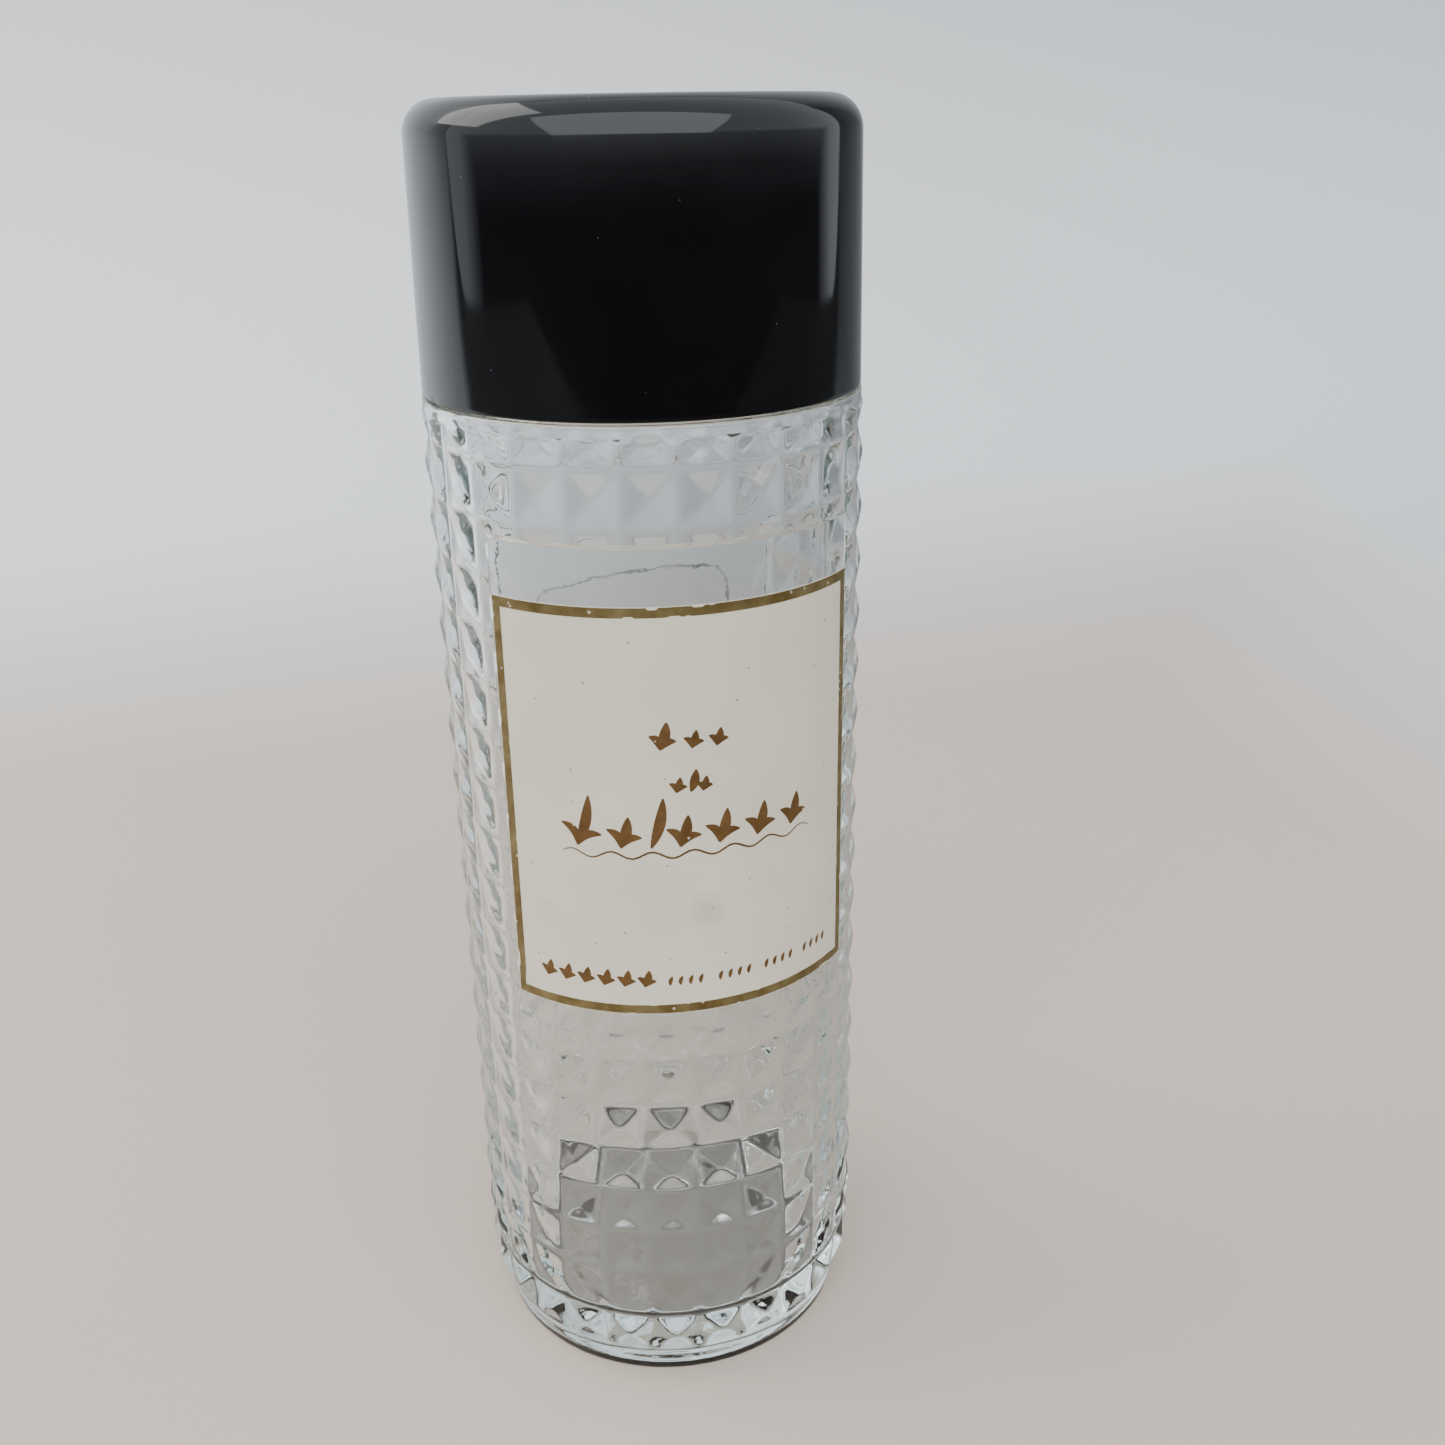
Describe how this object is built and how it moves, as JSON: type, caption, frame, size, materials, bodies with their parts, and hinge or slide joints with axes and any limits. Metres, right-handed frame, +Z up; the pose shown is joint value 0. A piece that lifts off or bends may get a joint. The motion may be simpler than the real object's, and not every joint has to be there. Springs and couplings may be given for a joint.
{
  "type": "cologne bottle",
  "caption": "Round glass splash bottle moulded with rows of pyramids, smooth label panels, a pour plug and a tall black screw cap.",
  "frame": {"origin": "middle of the base, on the surface that the bottle stands on", "axes": "+Z up along the bottle's axis, -Y towards the front label, +X to the label's right as it is read"},
  "size_m": [0.06, 0.0598, 0.1832],
  "materials": {
    "clear_glass": "clear moulded glass, fire polished",
    "plug_plastic": "natural translucent polyethylene",
    "front_label_paper": "uncoated cream paper with a dull gold border",
    "rear_label_film": "thin clear self-adhesive film",
    "liner_film": "thin white film",
    "liner_board": "pressed pulp board",
    "insert_plastic": "moulded polypropylene",
    "cap_black": "high-gloss black moulding"
  },
  "bodies": {
    "bottle": {"glass_bottle": "clear_glass", "pour_plug": "plug_plastic", "front_label": "front_label_paper", "rear_label": "rear_label_film"},
    "liner_seat": {"liner_facing": "liner_film"},
    "liner_carrier": {"liner_backing": "liner_board"},
    "cap": {"cap_insert": "insert_plastic", "cap_shell": "cap_black"}
  },
  "joints": [
    {"name": "cap_lift", "type": "slide", "parent": "bottle", "child": "liner_seat", "axis": [0, 0, 1], "range_m": [0, 0.06]},
    {"name": "thread_rise", "type": "slide", "parent": "liner_seat", "child": "liner_carrier", "axis": [0, 0, 1], "range_m": [0, 0.00635]},
    {"name": "cap_turn", "type": "hinge", "parent": "liner_carrier", "child": "cap", "pos_m": [0, 0, 0.165], "axis": [0, 0, 1], "range_deg": [0, 540]}
  ],
  "couplings": [
    {"joint": "thread_rise", "follows": "cap_turn", "m_per_rad": 0.0006737}
  ]
}
